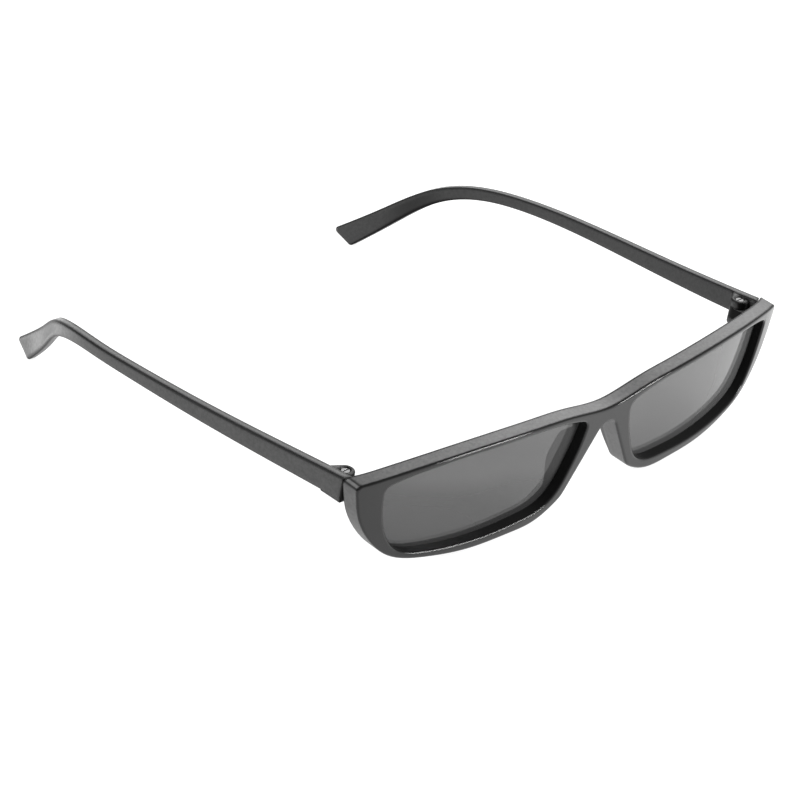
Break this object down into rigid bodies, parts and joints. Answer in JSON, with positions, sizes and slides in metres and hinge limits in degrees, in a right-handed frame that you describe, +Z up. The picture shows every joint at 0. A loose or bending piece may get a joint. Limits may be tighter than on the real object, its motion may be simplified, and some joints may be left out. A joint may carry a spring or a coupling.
{
  "type": "narrow rectangle sunglasses",
  "caption": "Narrow rectangle sunglasses: dark moulded frame with nose pads in one piece, smoke-tinted lenses and slim hooked temples that fold inwards on screwed plastic hinges.",
  "frame": {"origin": "centre of the bounding box in X and Y, on the surface that the open glasses stand on", "axes": "+X towards the wearer's left, +Y back along the temples, +Z up; the glasses stand on the lower rims and the temple tips, so the front leans forward slightly"},
  "size_m": [0.147, 0.1422, 0.0284],
  "materials": {
    "front_frame": "dark moulded plastic, satin on top with a polished front",
    "lens_left": "smoke-grey tinted lens, polished",
    "lens_right": "smoke-grey tinted lens, polished",
    "temple_left": "dark moulded plastic, satin",
    "temple_right": "dark moulded plastic, satin",
    "hinge_screw_left": "turned steel, slotted head",
    "hinge_screw_right": "turned steel, slotted head"
  },
  "bodies": {
    "front": {"front_frame": "front_frame", "lens_left": "lens_left", "lens_right": "lens_right"},
    "temple_left": {"temple_left": "temple_left", "hinge_screw_left": "hinge_screw_left"},
    "temple_right": {"temple_right": "temple_right", "hinge_screw_right": "hinge_screw_right"}
  },
  "joints": [
    {"name": "hinge_left", "type": "hinge", "parent": "front", "child": "temple_left", "pos_m": [0.06835, -0.05383, 0.02161], "axis": [0, -0.0924, 0.9957], "range_deg": [0, 88]},
    {"name": "hinge_right", "type": "hinge", "parent": "front", "child": "temple_right", "pos_m": [-0.06835, -0.05383, 0.02161], "axis": [0, 0.0924, -0.9957], "range_deg": [0, 80]}
  ]
}
